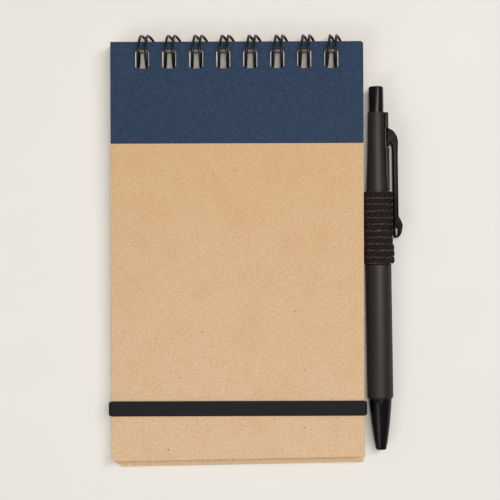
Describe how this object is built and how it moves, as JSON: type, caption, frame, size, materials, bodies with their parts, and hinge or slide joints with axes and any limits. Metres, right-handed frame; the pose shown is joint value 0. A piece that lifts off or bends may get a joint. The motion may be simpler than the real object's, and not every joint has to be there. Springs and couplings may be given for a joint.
{
  "type": "pocket notebook",
  "caption": "Top-bound pocket notebook in kraft board with a cloth-textured strip, twin-loop wire binding, elastic closure band and a click pen in a side loop.",
  "frame": {"origin": "on the back cover's outer face, halfway across and 65.9 mm below the bound edge", "axes": "+X to the right with the front cover towards the reader, +Y towards the wire binding, +Z from the back cover to the front cover"},
  "size_m": [0.0923, 0.1361, 0.0108],
  "materials": {
    "kraft_board": "matte",
    "navy_cloth_paper": "matte",
    "lining_paper": "matte",
    "page_paper": "matte",
    "black_coated_wire": "satin",
    "black_elastic": "matte",
    "black_webbing": "matte",
    "matte_black_plastic": "satin",
    "gloss_black_plastic": "gloss",
    "inner_plastic": "satin",
    "refill_plastic": "gloss",
    "refill_brass": "satin",
    "spring_steel": "polished"
  },
  "bodies": {
    "notebook": {"back_cover_board": "kraft_board", "back_cover_strip": "navy_cloth_paper", "back_cover_lining": "lining_paper", "page_block": "page_paper", "pen_loop": "black_webbing"},
    "wire": {"binding_wire": "black_coated_wire"},
    "cover": {"front_cover_board": "kraft_board", "front_cover_strip": "navy_cloth_paper", "front_cover_lining": "lining_paper"},
    "leaf_1": {"first_leaf": "page_paper"},
    "leaf_2": {"second_leaves": "page_paper"},
    "leaf_3": {"third_leaves": "page_paper"},
    "band": {"elastic_band": "black_elastic"},
    "pen": {"upper_barrel": "matte_black_plastic", "lower_barrel": "matte_black_plastic", "nose_cone": "gloss_black_plastic", "return_spring": "spring_steel"},
    "clip": {"pen_clip": "gloss_black_plastic"},
    "button": {"push_button": "gloss_black_plastic", "click_cam": "inner_plastic"},
    "refill": {"refill_tube": "refill_plastic", "refill_tip": "refill_brass", "writing_ball": "spring_steel"}
  },
  "joints": [
    {"name": "cover_turn", "type": "hinge", "parent": "notebook", "child": "cover", "pos_m": [0, 0.06602, 0.00346], "axis": [-1, 0, 0], "range_deg": [0, 180]},
    {"name": "first_leaf_turn", "type": "hinge", "parent": "notebook", "child": "leaf_1", "pos_m": [0, 0.06602, 0.00346], "axis": [-1, 0, 0], "range_deg": [0, 177.3]},
    {"name": "second_leaves_turn", "type": "hinge", "parent": "notebook", "child": "leaf_2", "pos_m": [0, 0.06602, 0.00346], "axis": [-1, 0, 0], "range_deg": [0, 171]},
    {"name": "third_leaves_turn", "type": "hinge", "parent": "notebook", "child": "leaf_3", "pos_m": [0, 0.06602, 0.00346], "axis": [-1, 0, 0], "range_deg": [0, 162]},
    {"name": "wire_turn", "type": "hinge", "parent": "notebook", "child": "wire", "pos_m": [0, 0.06456, -0.00014], "axis": [-1, 0, 0], "range_deg": [0, 72]},
    {"name": "band_release", "type": "slide", "parent": "notebook", "child": "band", "axis": [0, -1, 0], "range_m": [0, 0.024], "deforming": ["elastic_band"]},
    {"name": "pen_slide", "type": "slide", "parent": "notebook", "child": "pen", "axis": [-0.0115, 0.9999, 0], "range_m": [0, 0.065]},
    {"name": "clip_flex", "type": "hinge", "parent": "pen", "child": "clip", "pos_m": [0.04683, 0.03873, 0.003], "axis": [0, 0, 1], "range_deg": [0, 5], "stiffness_Nm_per_rad": 0.6},
    {"name": "button_press", "type": "slide", "parent": "pen", "child": "button", "axis": [0.0115, -0.9999, 0], "range_m": [0, 0.0035], "stiffness_N_per_m": 150, "springref_m": -0.002, "deforming": ["return_spring"]},
    {"name": "refill_slide", "type": "slide", "parent": "pen", "child": "refill", "axis": [0.0115, -0.9999, 0], "range_m": [0, 0.0035]}
  ],
  "couplings": [
    {"joint": "first_leaf_turn", "follows": "cover_turn", "ratio": 0.985},
    {"joint": "second_leaves_turn", "follows": "cover_turn", "ratio": 0.95},
    {"joint": "third_leaves_turn", "follows": "cover_turn", "ratio": 0.9},
    {"joint": "wire_turn", "follows": "cover_turn", "ratio": 0.4},
    {"joint": "refill_slide", "follows": "button_press", "ratio": 1}
  ]
}
